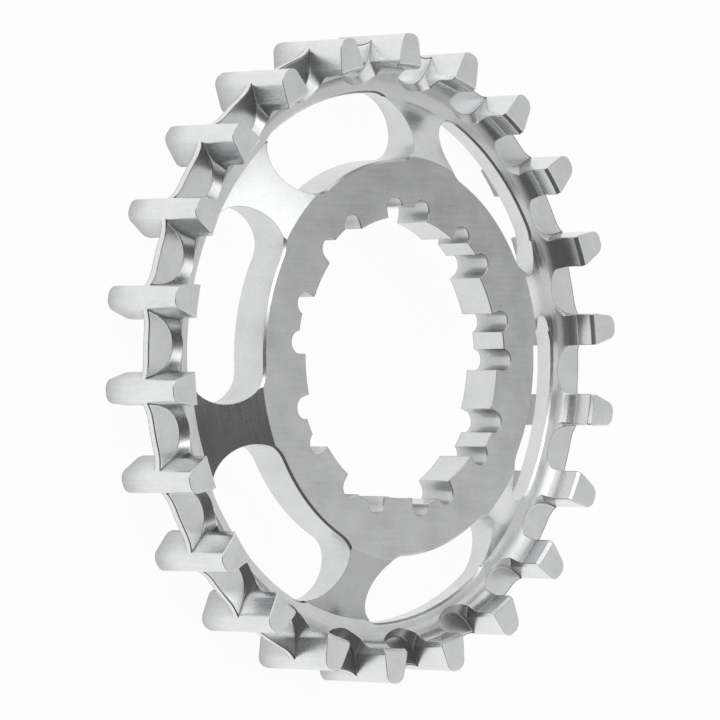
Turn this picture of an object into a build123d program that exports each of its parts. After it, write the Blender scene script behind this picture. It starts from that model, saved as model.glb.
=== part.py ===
from build123d import *
from math import acos, asin, cos, degrees, pi, radians, sin, sqrt, tan
import os

os.makedirs("parts", exist_ok=True)

# Belt sprocket machined from one blank.
# The axis is +Z and the part lies flat on the back ends of its teeth, z = 0.
# Angles count from +X, where one arm and one tooth stand in line.

# Toothed ring
tooth_count = 22
belt_pitch = 11.0
pitch_line_drop = 0.8
tooth_length = 10.75

# One tooth, seen along the axis
tooth_base_width = 3.72
tooth_neck_width = 2.85
tooth_base_height = 3.25
tooth_neck_height = 0.96
tip_corner = 1.20

# Pocket between two teeth on each side of the fin, its inner wall sloping down to the fin
pocket_depth = 4.98
pocket_wall_slope = 37.4
pocket_wall_turn = 60.0

# Guide fin halfway along the teeth, between the pockets of both sides
fin_thickness = 0.82
fin_drop = 1.22
fin_crest_angle = 5.8
fin_flare_drop = 0.55
fin_flare_overlap = 0.25

# Turned inside of the ring
ring_wall_height = 3.96
ring_chamfer = 0.36
ring_cone_height = 1.73
ring_cone_hollow = 0.25
rim_width = 1.48
rim_thickness = 2.29

# Hub, arms and windows
hub_thickness = 4.83
hub_face_radius = 23.46
window_count = 6
arm_width_angle = 11.0
window_bite = 0.46
rim_bite = 0.33
window_chamfer = 0.26

# Splined bore
spline_count = 9
spline_phase = 10.0
land_radius = 16.33
land_angle = 16.4
groove_depth = 1.22
relief_radius = 1.30
relief_depth = 1.12

# Sizes that follow from the ones above
tip_radius = tooth_count * belt_pitch / (2 * pi) - pitch_line_drop
pocket_radius = tip_radius - pocket_depth
fin_radius = tip_radius - fin_drop
ring_radius = tip_radius - ring_wall_height
ring_cone_radius = ring_radius - ring_cone_height
cone_end_radius = ring_cone_radius - rim_width
window_inner_radius = hub_face_radius - window_bite
window_outer_radius = cone_end_radius + rim_bite
groove_radius = land_radius + groove_depth
half_pitch = 180 / tooth_count
middle = tooth_length / 2
rim_front = middle + rim_thickness / 2
rim_back = middle - rim_thickness / 2
fin_front = middle + fin_thickness / 2
fin_back = middle - fin_thickness / 2
hub_back = tooth_length - hub_thickness
half_base = tooth_base_width / 2
half_neck = tooth_neck_width / 2


def around(count, shape, start=0.0):
    """Copies of a shape turned about the axis at equal steps."""
    step = 360 / count
    return [Rot(0, 0, start + step * k) * shape for k in range(count)]


def tooth_face():
    """One tooth along +X with its rounded tip, rooted well inside the ring."""
    shoulder = tip_radius - tooth_base_height
    neck = tip_radius - tooth_neck_height
    slope = (half_base - half_neck) / (neck - shoulder)
    half_tip = half_neck - slope * (tip_radius - neck)
    outline = Polyline(
        (cone_end_radius - half_base, half_base),
        (shoulder, half_base),
        (tip_radius, half_tip),
        (tip_radius, -half_tip),
        (shoulder, -half_base),
        (cone_end_radius - half_base, -half_base),
        close=True,
    )
    tooth = make_face(outline)
    tips = tooth.vertices().group_by(Axis.X)[-1]
    return fillet(tips, tip_corner)


def polar(radius, angle):
    """A point at a radius and an angle in degrees."""
    return (radius * cos(radians(angle)), radius * sin(radians(angle)))


def polar_from(centre, radius, turn):
    """A point on an arc about (centre, 0), counted from the side that faces the axis."""
    return (centre - radius * cos(turn), radius * sin(turn))


def fin_web():
    """The fin across one gap, centred on +X and flared where it meets the flanks."""
    flare_radius = tip_radius - fin_flare_drop
    half_crest = fin_crest_angle / 2
    flare_inset = half_neck - fin_flare_overlap
    to_tooth = Rot(0, 0, half_pitch)
    foot = to_tooth * Pos(cone_end_radius, 0)
    flare = to_tooth * Pos(flare_radius, -flare_inset)
    foot_point = foot.position
    flare_point = flare.position
    crest = Vector(*polar(fin_radius, half_crest))
    along = Vector(*polar(1, half_crest + 90))
    with BuildSketch() as web:
        with BuildLine():
            Line((foot_point.X, 0), foot_point)
            Line(foot_point, flare_point)
            TangentArc((crest, flare_point), tangent=along)
            ThreePointArc((fin_radius, 0), polar(fin_radius, half_crest / 2), crest)
            mirror(about=Plane.XZ)
        make_face()
    return web.sketch


def pocket_wall():
    """Sloping wall that closes one pocket towards the axis, centred on +X and rising from z = 0.

    Seen along the axis it is an arc that just touches both flanks, and it moves towards
    the axis as it rises."""
    sine = sin(radians(half_pitch))
    arc_radius = (pocket_radius * sine - half_base) / (1 - sine)
    arc_centre = pocket_radius + arc_radius
    turn = radians(pocket_wall_turn)
    turn_point = Vector(arc_centre - arc_radius * cos(turn), arc_radius * sin(turn))
    outer = Vector(*polar(fin_radius, half_pitch))
    side_run = outer.X - turn_point.X
    side = turn_point + Vector(side_run, side_run / tan(turn))
    inner = Vector(*polar(cone_end_radius - half_base, half_pitch))
    height = rim_front - fin_front + ring_cone_height
    run = height / tan(radians(pocket_wall_slope))
    with BuildSketch() as outline:
        with BuildLine():
            ThreePointArc((pocket_radius, 0), polar_from(arc_centre, arc_radius, turn / 2), turn_point)
            Polyline(turn_point, side, outer, inner, (inner.X, 0))
            mirror(about=Plane.XZ)
        make_face()
    return extrude(outline.sketch, amount=sqrt(run**2 + height**2), dir=(-run, 0, height))


def toothed_ring():
    """Teeth, fin and pocket walls round a solid core, before the inside is turned away."""
    spare = 1.0
    star = Circle(cone_end_radius) + around(tooth_count, tooth_face())
    teeth = Pos(0, 0, -spare) * extrude(star, tooth_length + 2 * spare)
    web = Pos(0, 0, fin_back) * extrude(fin_web(), fin_thickness)
    front = Pos(0, 0, fin_thickness / 2) * pocket_wall()
    back = mirror(front, about=Plane.XY)
    fillers = [web, Pos(0, 0, middle) * front, Pos(0, 0, middle) * back]
    ring = teeth
    for filler in fillers:
        ring = ring + around(tooth_count, filler, half_pitch)
    return ring


def turned_blank():
    """Hub, cones, rim and ring as turned, before any milling."""
    stock = tip_radius + 1
    middle_radius = (ring_cone_radius + ring_radius) / 2
    half_rise = ring_cone_height / 2
    hollow = ring_cone_hollow * sin(radians(45))
    ring_front = rim_front + ring_cone_height
    ring_back = rim_back - ring_cone_height
    with BuildPart() as blank:
        with BuildSketch(Plane.XZ):
            with BuildLine():
                Polyline(
                    (ring_cone_radius, rim_front),
                    (cone_end_radius, rim_front),
                    (hub_face_radius, tooth_length),
                    (0, tooth_length),
                    (0, hub_back),
                    (hub_face_radius, hub_back),
                    (cone_end_radius, rim_back),
                    (ring_cone_radius, rim_back),
                )
                ThreePointArc(
                    (ring_cone_radius, rim_back),
                    (middle_radius + hollow, rim_back - half_rise + hollow),
                    (ring_radius, ring_back),
                )
                Polyline(
                    (ring_radius, ring_back),
                    (ring_radius, ring_chamfer),
                    (ring_radius + ring_chamfer, 0),
                    (stock, 0),
                    (stock, tooth_length),
                    (ring_radius + ring_chamfer, tooth_length),
                    (ring_radius, tooth_length - ring_chamfer),
                    (ring_radius, ring_front),
                )
                ThreePointArc(
                    (ring_radius, ring_front),
                    (middle_radius + hollow, rim_front + half_rise - hollow),
                    (ring_cone_radius, rim_front),
                )
            make_face()
        revolve(axis=Axis.Z)
    return blank.part


def windows():
    """The windows between the arms, cut through, with their front edges chamfered."""
    centre_radius = (window_inner_radius + window_outer_radius) / 2
    width = window_outer_radius - window_inner_radius
    end_angle = arm_width_angle / 2 + degrees(asin(width / 2 / centre_radius))
    span = 360 / window_count - 2 * end_angle
    path = CenterArc((0, 0), centre_radius, end_angle, span)
    narrow = SlotArc(path, width)
    wide = SlotArc(path, width + 2 * window_chamfer)
    rim_band = extrude(Circle(ring_radius) - Circle(cone_end_radius), tooth_length)
    through = extrude(narrow, tooth_length)
    hub_bevel, rim_bevel = (
        loft([Pos(0, 0, edge - window_chamfer) * narrow, Pos(0, 0, edge) * wide], ruled=True)
        for edge in (tooth_length, rim_front)
    )
    cutters = []
    for cutter in (through, hub_bevel - rim_band, rim_bevel & rim_band):
        cutters += around(window_count, cutter)
    return cutters


def bore_face():
    """Outline of the splined bore: lands, relieved corners and groove floors."""
    centre_radius = groove_radius + relief_depth - relief_radius
    wall_end = sqrt(centre_radius**2 - relief_radius**2)
    wall_angle = 180 / spline_count - land_angle / 2
    relief_angle = wall_angle - degrees(asin(relief_radius / centre_radius))
    cosine = (groove_radius**2 + centre_radius**2 - relief_radius**2) / (2 * groove_radius * centre_radius)
    floor_angle = relief_angle - degrees(acos(cosine))
    relief_top = centre_radius + relief_radius
    step = 360 / spline_count
    with BuildSketch() as bore:
        with BuildLine():
            for k in range(spline_count):
                land = spline_phase + step * k
                groove = land + step / 2
                before = groove - wall_angle
                after = groove + wall_angle
                ThreePointArc(
                    polar(land_radius, land - land_angle / 2),
                    polar(land_radius, land),
                    polar(land_radius, before),
                )
                Line(polar(land_radius, before), polar(wall_end, before))
                ThreePointArc(
                    polar(wall_end, before),
                    polar(relief_top, groove - relief_angle),
                    polar(groove_radius, groove - floor_angle),
                )
                ThreePointArc(
                    polar(groove_radius, groove - floor_angle),
                    polar(groove_radius, groove),
                    polar(groove_radius, groove + floor_angle),
                )
                ThreePointArc(
                    polar(groove_radius, groove + floor_angle),
                    polar(relief_top, groove + relief_angle),
                    polar(wall_end, after),
                )
                Line(polar(wall_end, after), polar(land_radius, after))
        make_face()
    return bore.sketch


sprocket = toothed_ring() & turned_blank()
sprocket = sprocket - windows() - extrude(bore_face(), tooth_length)
export_step(sprocket, "parts/belt_sprocket.step")
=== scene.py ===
from math import cos, pi, radians, sin
from types import SimpleNamespace

import bpy
from mathutils import Matrix, Vector


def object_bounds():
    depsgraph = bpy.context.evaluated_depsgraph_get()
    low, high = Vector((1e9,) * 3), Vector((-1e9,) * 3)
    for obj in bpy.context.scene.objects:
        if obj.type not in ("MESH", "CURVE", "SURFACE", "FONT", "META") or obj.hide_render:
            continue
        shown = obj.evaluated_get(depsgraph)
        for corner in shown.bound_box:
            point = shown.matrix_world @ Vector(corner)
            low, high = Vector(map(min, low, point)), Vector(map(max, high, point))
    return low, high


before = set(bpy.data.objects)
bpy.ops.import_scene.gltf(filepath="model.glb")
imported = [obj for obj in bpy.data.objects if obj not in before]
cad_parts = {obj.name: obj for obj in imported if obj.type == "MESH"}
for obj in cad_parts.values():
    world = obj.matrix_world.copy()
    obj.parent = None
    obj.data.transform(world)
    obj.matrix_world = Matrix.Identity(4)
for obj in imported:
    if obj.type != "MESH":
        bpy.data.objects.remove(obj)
cad_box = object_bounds()

# Lengths are in metres and angles in degrees. These sizes are read from the frame.
low, high = cad_box
tip_radius = (high.x - low.x) / 2
middle = (low.z + high.z) / 2

# Camera, at the photograph's place and angle, with its lens in millimetres
camera_place = (0.34055, 0.32545, 0.44871)
camera_right = (-0.50304, -0.46727, 0.72700)
camera_forward = (-0.52586, -0.50205, -0.68660)
camera_lens = 277.4

# Lamps: name, azimuth, elevation, width, height and brightness
lamps = (
    ("key_high", 332, 57, 1.10, 0.82, 1.37),
    ("key_low", 336, 22, 1.80, 0.70, 1.05),
    ("key_near", 9, 43, 0.40, 0.30, 1.60),
    ("top_panel", 234, 52, 1.70, 1.20, 0.56),
    ("wall_panel", 238, 15, 2.20, 0.66, 0.66),
    ("side_panel", 180, 37, 1.04, 1.44, 0.47),
)
lamp_distance = 1.2

# World light, and the floor's size, its grey and how far it is shown as plain white
world_level = 0.12
floor_size = 6.0
floor_grey = 0.82
floor_whiteness = 0.96

# Radii at which the finish changes, in shares of the tip radius, most as a soft step from start to end
bore_end = (0.50, 0.51)
windows_start = (0.56, 0.57)
hub_end = (0.62, 0.64)
rim_start = (0.827, 0.833)
rim_end = (0.855, 0.872)
windows_end = (0.86, 0.87)
fin_start = 0.86
teeth_start = (0.895, 0.905)

# How level a face is, from 0 for a wall to 1 for a face square to the axis, and how far the
# rim's faces may look outward, in shares of the tip radius
flat_step = (0.97, 0.995)
upright_step = (0.20, 0.40)
rim_outward = 0.1

# Radii of the edges' small breaks. The fin's edges also get painted shade, dark lines within fin_reach
# of the middle and where the rounded normal's agreement with the true one falls through the step
edge_break = 0.00022
window_edge_break = 0.00008
bore_edge_break = 0.00032
fin_edge_break = 0.00040
fin_reach = 0.0009
fin_edge_agreement = (0.90, 0.985)

# Pockets, which get painted shade: how near a wall has to be to count, and the openness from deep in
# one to free of it
pocket_reach = 0.006
pocket_openness = (0.30, 0.90)

# Samples of the nodes that look for edges and pockets
probe_samples = 8

# Steel colour, and how much lighter or darker each finish makes it. The tooth, hub, pocket and fin
# edge gains and the hub's lean are painted light and shade, not colour the steel has
steel_colour = (0.700, 0.705, 0.710)
line_gain = 0.14
tooth_line_gain = 0.26
cloud_gain = 0.26
speck_gain = 0.12
# Painted light: the teeth's sides are painted lighter than the rest of the same steel
tooth_painted_light = 0.15
# Painted shade: the hub face is painted darker than the rest of the same steel
hub_painted_shade = -0.285
# Painted light on the hub face, lighter towards the heading below
hub_painted_light_lean = 0.08
hub_painted_light_lean_heading = 110
# Painted shade deep in the pockets
pocket_painted_shade = -0.62
# Painted shade and painted dark reflection along the fin's edges
fin_edge_painted_shade = -0.80

# Roughness, and how much each finish adds to it
steel_roughness = 0.25
cloud_roughness = 0.10
line_roughness = 0.16
hub_roughness = 0.08
rim_roughness = 0.22
pocket_roughness = 0.08
steel_anisotropy = 0.35

# Relief of the lines, and the bump that shows it
line_relief = 0.7
tooth_line_relief = 2.6
broad_relief = 0.9
speck_relief = 0.15
bump_strength = 0.22
bump_distance = 0.000012

# Noises: scale per metre, detail and, where it isn't the usual one, roughness
turned_noise = (9000, 2.0)
broad_noise = (1800, 2.0)
grain_noise = (3600, 3.0)
milled_noise = (3600, 3.0)
crossing_noise = (3200, 2.0)
cloud_noise = (260, 3.0, 0.6)
speck_noise = (2600, 2.0, 0.6)

# How the lines run: metres of drift per radian round the axis, width against length, the grain's
# heading, the milled lines' share on the teeth and the lines' strength on the ring's level faces
turned_drift = 0.0006
broad_drift = 0.0020
line_stretch = 0.05
grain_heading = 43
milled_share = 0.55
flat_line_strength = 0.2


class Nodes:
    """A node tree with short calls for the few kinds of node that the materials use."""

    def __init__(self, tree):
        self.tree = tree
        tree.nodes.clear()

    def add(self, kind, **settings):
        node = self.tree.nodes.new(kind)
        for name, value in settings.items():
            setattr(node, name, value)
        return node

    def feed(self, socket, value):
        """Links a socket to another, or sets its value."""
        if isinstance(value, bpy.types.NodeSocket):
            self.tree.links.new(value, socket)
        else:
            socket.default_value = value

    def end(self, kind, shader):
        """Sends the finished shader to an output node."""
        self.feed(self.add(kind).inputs["Surface"], shader)

    def math(self, operation, *values, clamp=False):
        node = self.add("ShaderNodeMath", operation=operation, use_clamp=clamp)
        for socket, value in zip(node.inputs, values):
            self.feed(socket, value)
        return node.outputs[0]

    def plus(self, first, second):
        return self.math("ADD", first, second)

    def minus(self, first, second):
        return self.math("SUBTRACT", first, second)

    def times(self, first, second):
        return self.math("MULTIPLY", first, second)

    def invert(self, value):
        return self.minus(1.0, value)

    def total(self, base, *parts):
        """The base plus each amount times its gain."""
        for amount, gain in parts:
            base = self.math("MULTIPLY_ADD", amount, gain, base)
        return base

    def blend(self, factor, first, second):
        """first where factor is 0, second where it is 1."""
        node = self.add("ShaderNodeMix", data_type="FLOAT")
        self.feed(node.inputs[0], factor)
        self.feed(node.inputs[2], first)
        self.feed(node.inputs[3], second)
        return node.outputs[0]

    def shade(self, colour, level):
        """A colour made lighter or darker by a level."""
        node = self.add("ShaderNodeMix", data_type="RGBA", blend_type="MULTIPLY")
        self.feed(node.inputs[0], 1.0)
        self.feed(node.inputs[6], (*colour, 1.0))
        self.feed(node.inputs[7], self.join(level, level, level))
        return node.outputs[2]

    def ramp(self, value, step):
        """Rises smoothly from 0 to 1 as the value goes from the step's start to its end."""
        node = self.add("ShaderNodeMapRange", interpolation_type="SMOOTHSTEP")
        start, end = step
        self.feed(node.inputs["Value"], value)
        self.feed(node.inputs["From Min"], start)
        self.feed(node.inputs["From Max"], end)
        return node.outputs[0]

    def noise(self, vector, scale, detail, rough=0.5):
        """Noise that swings evenly about 0."""
        node = self.add("ShaderNodeTexNoise")
        self.feed(node.inputs["Vector"], vector)
        self.feed(node.inputs["Scale"], scale)
        self.feed(node.inputs["Detail"], detail)
        self.feed(node.inputs["Roughness"], rough)
        return self.minus(node.outputs[0], 0.5)

    def join(self, x, y, z):
        node = self.add("ShaderNodeCombineXYZ")
        for socket, value in zip(node.inputs, (x, y, z)):
            self.feed(socket, value)
        return node.outputs[0]

    def split(self, vector):
        node = self.add("ShaderNodeSeparateXYZ")
        self.feed(node.inputs[0], vector)
        return node.outputs


def new_material(name):
    material = bpy.data.materials.new(name)
    material.use_nodes = True
    return material, Nodes(material.node_tree)


def surface_point(n):
    """The point being shaded: its place, radius and angle about the axis, and the way it faces."""
    place = n.add("ShaderNodeTexCoord").outputs["Object"]
    normal = n.add("ShaderNodeNewGeometry").outputs["True Normal"]
    x, y, z = n.split(place)
    normal_x, normal_y, normal_z = n.split(normal)
    return SimpleNamespace(
        place=place,
        x=x,
        y=y,
        z=z,
        radius=n.math("SQRT", n.plus(n.times(x, x), n.times(y, y))),
        angle=n.math("ARCTAN2", y, x),
        normal=normal,
        level=n.math("ABSOLUTE", normal_z),
        outward=n.plus(n.times(normal_x, x), n.times(normal_y, y)),
    )


def beyond(n, at, step):
    """0 nearer the axis than a step, 1 beyond it."""
    return n.ramp(at.radius, [share * tip_radius for share in step])


def within(n, at, step):
    """1 nearer the axis than a step, 0 beyond it."""
    return n.invert(beyond(n, at, step))


def hemmed_in(n):
    """0 on open faces, rising towards 1 deep in the pockets, which get painted shade there and more
    roughness.
    """
    node = n.add("ShaderNodeAmbientOcclusion", samples=probe_samples)
    n.feed(node.inputs["Distance"], pocket_reach)
    return n.invert(n.ramp(node.outputs["AO"], pocket_openness))


def finishes(n, at):
    """How much the point belongs to each finish, from 0 to 1."""
    flat = n.ramp(at.level, flat_step)
    upright = n.invert(n.ramp(at.level, upright_step))
    in_rim = n.times(beyond(n, at, rim_start), within(n, at, rim_end))
    return SimpleNamespace(
        flat=flat,
        upright=upright,
        in_bore=within(n, at, bore_end),
        by_windows=n.times(beyond(n, at, windows_start), within(n, at, windows_end)),
        hub_face=n.times(flat, within(n, at, hub_end)),
        rim=n.times(in_rim, n.math("LESS_THAN", at.outward, rim_outward * tip_radius)),
        tooth_side=n.times(upright, beyond(n, at, teeth_start)),
        pocket=n.times(hemmed_in(n), n.invert(flat)),
    )


def machined_lines(n, at, on):
    """The fine lines that each cut leaves, and the broader waves of turning."""
    # Turned lines run round the axis, so they change with radius and height and hardly with angle
    turned = n.noise(n.join(at.radius, at.z, n.times(at.angle, turned_drift)), *turned_noise)
    broad = n.noise(n.join(at.radius, at.z, n.times(at.angle, broad_drift)), *broad_noise)

    # The straight grain runs across the hub face
    heading = radians(grain_heading)
    along = n.plus(n.times(at.x, cos(heading)), n.times(at.y, sin(heading)))
    across = n.minus(n.times(at.y, cos(heading)), n.times(at.x, sin(heading)))
    grain = n.noise(n.join(n.times(along, line_stretch), across, at.z), *grain_noise)

    # On the sides of the teeth, milled lines run along the axis and others cross them
    arc = n.times(at.angle, tip_radius)
    milled = n.noise(n.join(arc, at.radius, n.times(at.z, line_stretch)), *milled_noise)
    crossing = n.noise(n.join(at.z, n.times(at.radius, line_stretch), at.angle), *crossing_noise)

    fine = n.blend(on.hub_face, turned, grain)
    fine = n.blend(on.tooth_side, fine, n.blend(milled_share, crossing, milled))

    # Lines are faint on the level faces of the ring
    strength = n.blend(n.minus(on.flat, on.hub_face), 1.0, flat_line_strength)
    return n.times(fine, strength), n.times(broad, strength)


def broken_edges(n, at, on):
    """Normals rounded over the edges' small breaks, and the painted shade lines at the fin's edges."""
    off_middle = n.math("ABSOLUTE", n.minus(at.z, middle))
    near_fin = n.times(
        n.math("LESS_THAN", off_middle, fin_reach),
        n.math("GREATER_THAN", at.radius, fin_start * tip_radius),
    )
    break_radius = n.blend(on.by_windows, edge_break, window_edge_break)
    break_radius = n.blend(on.in_bore, break_radius, bore_edge_break)
    bevel = n.add("ShaderNodeBevel", samples=probe_samples)
    n.feed(bevel.inputs["Radius"], n.blend(near_fin, break_radius, fin_edge_break))
    rounded = bevel.outputs[0]

    # An edge is near where the rounded normal leaves the true one
    agreement = n.add("ShaderNodeVectorMath", operation="DOT_PRODUCT")
    n.feed(agreement.inputs[0], rounded)
    n.feed(agreement.inputs[1], at.normal)
    by_edge = n.invert(n.ramp(agreement.outputs["Value"], fin_edge_agreement))
    # Where the fin's edges get painted shade
    fin_face = n.times(near_fin, n.invert(on.upright))
    return rounded, n.times(fin_face, by_edge)


def steel():
    """Machined steel: turned, milled and brushed, with clouding, edges slightly broken, and painted
    light and shade on the teeth, the hub face, the pockets and the fin's edges.
    """
    material, n = new_material("machined_steel")
    at = surface_point(n)
    on = finishes(n, at)
    lines, broad_lines = machined_lines(n, at, on)
    rounded, painted_fin_shade = broken_edges(n, at, on)
    cloud = n.noise(at.place, *cloud_noise)
    speck = n.noise(at.place, *speck_noise)

    # Painted light: the hub face is painted lighter towards one side
    painted_lean = n.math("COSINE", n.minus(at.angle, radians(hub_painted_light_lean_heading)))
    # Colour, with painted light on the teeth and the hub's one side, and painted shade on the hub
    # face, in the pockets and along the fin's edges
    colour_level = n.total(
        1.0,
        (lines, n.blend(on.tooth_side, line_gain, tooth_line_gain)),
        (cloud, cloud_gain),
        (speck, speck_gain),
        (painted_fin_shade, fin_edge_painted_shade),
        (on.tooth_side, tooth_painted_light),
        (on.hub_face, n.total(hub_painted_shade, (painted_lean, hub_painted_light_lean))),
        (on.pocket, pocket_painted_shade),
    )
    roughness = n.total(
        steel_roughness,
        (cloud, cloud_roughness),
        (lines, line_roughness),
        (on.hub_face, hub_roughness),
        (on.rim, rim_roughness),
        (on.pocket, pocket_roughness),
    )
    relief = n.total(
        0.0,
        (lines, n.blend(on.tooth_side, line_relief, tooth_line_relief)),
        (broad_lines, broad_relief),
        (speck, speck_relief),
    )
    bump = n.add("ShaderNodeBump")
    n.feed(bump.inputs["Strength"], bump_strength)
    n.feed(bump.inputs["Distance"], bump_distance)
    n.feed(bump.inputs["Height"], relief)
    n.feed(bump.inputs["Normal"], rounded)

    shader = n.add("ShaderNodeBsdfPrincipled")
    round_axis = n.add("ShaderNodeTangent", direction_type="RADIAL", axis="Z")
    n.feed(shader.inputs["Base Color"], n.shade(steel_colour, colour_level))
    n.feed(shader.inputs["Metallic"], 1.0)
    n.feed(shader.inputs["Roughness"], roughness)
    n.feed(shader.inputs["Anisotropic"], steel_anisotropy)
    n.feed(shader.inputs["Tangent"], round_axis.outputs[0])
    n.feed(shader.inputs["Normal"], bump.outputs[0])
    n.end("ShaderNodeOutputMaterial", shader.outputs[0])
    return material


def seen(n):
    """1 for rays from the camera, or mirrored or refracted by the object, else 0."""
    path = n.add("ShaderNodeLightPath").outputs
    direct_or_glossy = n.plus(path["Is Camera Ray"], path["Is Glossy Ray"])
    return n.math("ADD", direct_or_glossy, path["Is Transmission Ray"], clamp=True)


def add_floor():
    """A plain pale floor under the part, shown nearly white, that still takes its shadow."""
    bpy.ops.mesh.primitive_plane_add(size=floor_size, location=(0, 0, low.z))
    floor = bpy.context.object
    floor.name = "floor"
    material, n = new_material("pale_floor")
    diffuse = n.add("ShaderNodeBsdfDiffuse")
    n.feed(diffuse.inputs["Color"], (floor_grey, floor_grey, floor_grey, 1.0))
    white = n.add("ShaderNodeEmission")
    mix = n.add("ShaderNodeMixShader")
    n.feed(mix.inputs[0], n.times(seen(n), floor_whiteness))
    n.feed(mix.inputs[1], diffuse.outputs[0])
    n.feed(mix.inputs[2], white.outputs[0])
    n.end("ShaderNodeOutputMaterial", mix.outputs[0])
    floor.data.materials.append(material)


def add_world():
    """Even grey light all round, shown white where the camera looks past the floor."""
    world = bpy.data.worlds.new("studio")
    bpy.context.scene.world = world
    world.use_nodes = True
    n = Nodes(world.node_tree)
    camera_ray = n.add("ShaderNodeLightPath").outputs["Is Camera Ray"]
    background = n.add("ShaderNodeBackground")
    n.feed(background.inputs["Color"], (1.0, 1.0, 1.0, 1.0))
    n.feed(background.inputs["Strength"], n.blend(camera_ray, world_level, 1.0))
    n.end("ShaderNodeOutputWorld", background.outputs[0])


def add_lamp(name, azimuth, elevation, width, height, brightness):
    """A soft panel that faces the part. Brightness 1 mirrors as white."""
    data = bpy.data.lights.new(name, "AREA")
    data.shape = "RECTANGLE"
    data.size = width
    data.size_y = height
    data.energy = brightness * pi * width * height
    lamp = bpy.data.objects.new(name, data)
    turn = radians(azimuth)
    rise = radians(elevation)
    toward = Vector((cos(rise) * cos(turn), cos(rise) * sin(turn), sin(rise)))
    lamp.location = lamp_distance * toward
    lamp.rotation_euler = toward.to_track_quat("Z", "Y").to_euler()
    lamp.visible_camera = False
    bpy.context.scene.collection.objects.link(lamp)


def add_camera():
    """The camera, turned by its right and forward directions."""
    right = Vector(camera_right).normalized()
    back = -Vector(camera_forward).normalized()
    up = back.cross(right).normalized()
    right = up.cross(back)
    turn = Matrix((right, up, back)).transposed().to_4x4()
    data = bpy.data.cameras.new("camera")
    data.lens = camera_lens
    camera = bpy.data.objects.new("camera", data)
    camera.matrix_world = Matrix.Translation(camera_place) @ turn
    bpy.context.scene.collection.objects.link(camera)
    bpy.context.scene.camera = camera


add_camera()
add_world()
add_floor()
for lamp in lamps:
    add_lamp(*lamp)

metal = steel()
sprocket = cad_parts["belt_sprocket"]
for slot in sprocket.material_slots:
    slot.material = metal

bpy.context.scene.view_settings.view_transform = "Standard"
